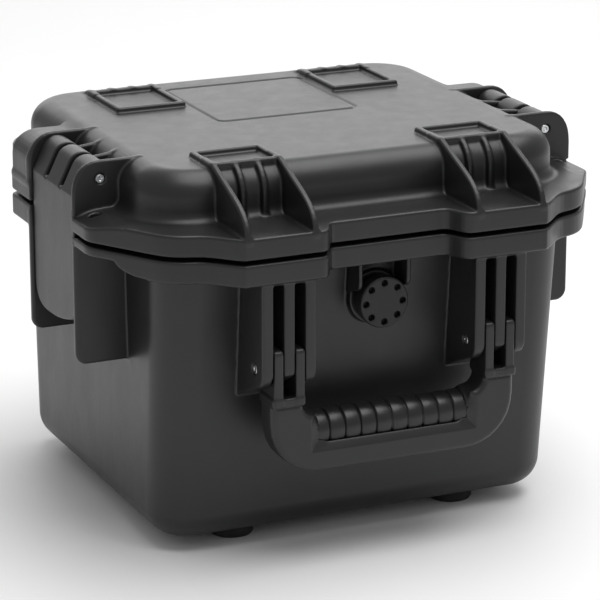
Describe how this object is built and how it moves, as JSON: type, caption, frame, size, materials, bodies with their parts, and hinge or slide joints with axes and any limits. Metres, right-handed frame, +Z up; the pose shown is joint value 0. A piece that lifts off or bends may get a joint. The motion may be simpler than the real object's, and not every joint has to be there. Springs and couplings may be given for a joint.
{
  "type": "tool case with tray",
  "caption": "Rugged moulded tool case with a hinged domed lid, side latches, fold-down front handle, relief valve, rubber feet and a lift-out tray.",
  "frame": {"origin": "centre of the closed case's outline, on the surface that its feet stand on", "axes": "+Z up, -Y is the front with the handle, +X is to the right seen from the front"},
  "size_m": [0.267, 0.2498, 0.1934],
  "materials": {
    "shell": "fine-grained black polypropylene",
    "latch": "smooth satin black polypropylene",
    "handle": "satin black nylon",
    "grip": "soft-touch black",
    "knob": "satin black nylon",
    "tray": "satin black polypropylene",
    "rubber": "dull black",
    "foot": "dull black",
    "steel": "bright turned"
  },
  "bodies": {
    "root": {"base_shell": "shell", "lid_gasket": "rubber", "valve_body": "shell", "valve_seal": "rubber", "valve_nut": "shell", "hinge_pin_left": "steel", "hinge_pin_right": "steel", "handle_pin_left": "steel", "handle_pin_right": "steel", "foot_front_left": "foot", "foot_front_right": "foot", "foot_rear_left": "foot", "foot_rear_right": "foot", "foot_screw_front_left": "steel", "foot_screw_front_right": "steel", "foot_screw_rear_left": "steel", "foot_screw_rear_right": "steel"},
    "lid": {"lid_shell": "shell", "latch_pin_left": "steel", "latch_pin_right": "steel"},
    "latch_left": {"latch_left": "latch"},
    "latch_right": {"latch_right": "latch"},
    "handle": {"handle_frame": "handle", "handle_grip": "grip"},
    "knob": {"valve_knob": "knob"},
    "tray": {"tray_body": "tray", "tray_divider_front": "tray", "tray_divider_left": "tray", "tray_divider_right": "tray"}
  },
  "joints": [
    {"name": "lid_hinge", "type": "hinge", "parent": "root", "child": "lid", "pos_m": [0, 0.1192, 0.1626], "axis": [-1, 0, 0], "range_deg": [0, 105]},
    {"name": "latch_left_hinge", "type": "hinge", "parent": "lid", "child": "latch_left", "pos_m": [-0.1194, -0.01365, 0.182], "axis": [0, 1, 0], "range_deg": [0, 100]},
    {"name": "latch_right_hinge", "type": "hinge", "parent": "lid", "child": "latch_right", "pos_m": [0.1194, -0.01365, 0.182], "axis": [0, -1, 0], "range_deg": [0, 100]},
    {"name": "handle_fold", "type": "hinge", "parent": "root", "child": "handle", "pos_m": [0, -0.1122, 0.1003], "axis": [-1, 0, 0], "range_deg": [0, 90]},
    {"name": "knob_turn", "type": "hinge", "parent": "root", "child": "knob", "pos_m": [0, -0.106, 0.1235], "axis": [0, 1, 0], "range_deg": [0, 180]},
    {"name": "tray_lift", "type": "slide", "parent": "root", "child": "tray", "axis": [0, 0, 1], "range_m": [0, 0.032]}
  ]
}
